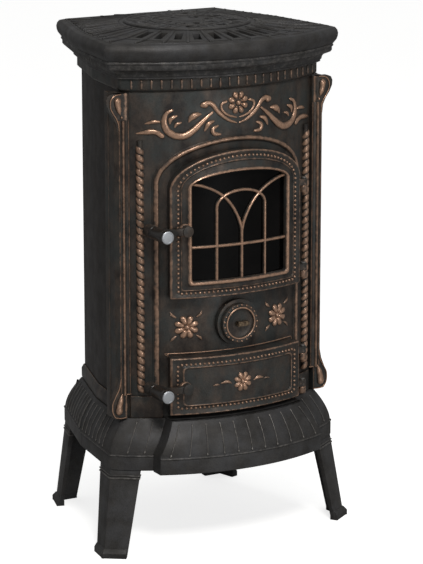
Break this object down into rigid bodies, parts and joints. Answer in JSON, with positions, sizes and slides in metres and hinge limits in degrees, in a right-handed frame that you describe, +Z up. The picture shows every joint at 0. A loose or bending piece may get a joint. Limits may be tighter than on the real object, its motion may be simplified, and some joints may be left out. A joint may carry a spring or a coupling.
{
  "type": "wood stove",
  "caption": "Bow-fronted cast-iron stove on four legs with an arched glazed fire door, an ash door, lever latches, a turning air valve and a lift-off lid",
  "frame": {"origin": "on the floor, under the middle of the stove's overall box", "axes": "+X to the right as one faces the doors, -Y towards the user (the bowed front), +Z up"},
  "size_m": [0.5386, 0.473, 0.972],
  "materials": {
    "iron_dark": "dark grey cast iron, lightly bronzed and rubbed on its edges",
    "iron_bronzed": "near-black cast iron with a bronze patina rubbed through on raised ornament",
    "iron_plain": "plain dark brown mottled cast plate",
    "steel": "plain zinc-grey steel",
    "firebrick": "matt buff firebrick",
    "dark_glass": "heat-proof glass, dark with the unlit firebox behind",
    "seal_cord": "grey woven glass-fibre sealing strip",
    "black_grip": "satin black turned grip",
    "bright_cap": "bright worn metal disc",
    "brass": "dulled brass"
  },
  "bodies": {
    "stove": {"leg_front_left": "iron_dark", "leg_front_right": "iron_dark", "leg_back_left": "iron_dark", "leg_back_right": "iron_dark", "leg_bolts": "steel", "base_skirt": "iron_dark", "hearth_apron": "iron_dark", "floor_plate": "iron_plain", "base_moulding": "iron_bronzed", "front_plate": "iron_bronzed", "front_ornament": "iron_bronzed", "arch_bead": "iron_bronzed", "rope_left": "iron_bronzed", "rope_right": "iron_bronzed", "pilaster_left": "iron_bronzed", "pilaster_right": "iron_bronzed", "side_left": "iron_plain", "side_right": "iron_plain", "back_panel": "iron_plain", "frieze": "iron_bronzed", "cornice": "iron_dark", "top_plate": "iron_dark", "firebox_left": "iron_plain", "firebox_right": "iron_plain", "firebox_back": "iron_plain", "firebox_roof": "iron_plain", "firebox_floor": "iron_plain", "bricks_left": "firebrick", "bricks_right": "firebrick", "bricks_back": "firebrick", "baffle": "iron_plain", "grate": "iron_plain", "ash_floor": "iron_plain", "ash_pan": "steel", "tie_rods": "steel", "flue_collar": "iron_dark", "flue_bolts": "steel", "hinge_lugs": "iron_bronzed", "hinge_pins": "steel", "air_boss": "iron_bronzed"},
    "fire_door": {"fire_door": "iron_bronzed", "fire_tracery": "iron_bronzed", "fire_glass": "dark_glass", "glass_clips": "steel", "fire_seal": "seal_cord"},
    "fire_latch": {"fire_lever": "iron_bronzed", "fire_grip": "black_grip", "fire_cap": "bright_cap"},
    "ash_door": {"ash_door": "iron_bronzed", "ash_seal": "seal_cord", "ash_ornament": "iron_bronzed"},
    "ash_latch": {"ash_lever": "iron_bronzed", "ash_grip": "black_grip", "ash_cap": "bright_cap"},
    "air_valve": {"air_disc": "iron_bronzed", "air_tab": "brass"},
    "lid": {"top_lid": "iron_dark"}
  },
  "joints": [
    {"name": "fire_door_swing", "type": "hinge", "parent": "stove", "child": "fire_door", "pos_m": [0.15, -0.16432, 0.6], "axis": [0, 0, 1], "range_deg": [0, 110]},
    {"name": "ash_door_swing", "type": "hinge", "parent": "stove", "child": "ash_door", "pos_m": [0.15, -0.16432, 0.32], "axis": [0, 0, 1], "range_deg": [0, 110]},
    {"name": "fire_latch_turn", "type": "hinge", "parent": "fire_door", "child": "fire_latch", "pos_m": [-0.114, -0.18, 0.617], "axis": [0, -1, 0], "range_deg": [0, 40]},
    {"name": "ash_latch_turn", "type": "hinge", "parent": "ash_door", "child": "ash_latch", "pos_m": [-0.114, -0.18, 0.3185], "axis": [0, -1, 0], "range_deg": [0, 40]},
    {"name": "air_valve_turn", "type": "hinge", "parent": "stove", "child": "air_valve", "pos_m": [0, -0.18, 0.43], "axis": [0, -1, 0], "range_deg": [0, 45]},
    {"name": "top_lid_lift", "type": "slide", "parent": "stove", "child": "lid", "axis": [0, 0, 1], "range_m": [0, 0.06]}
  ]
}
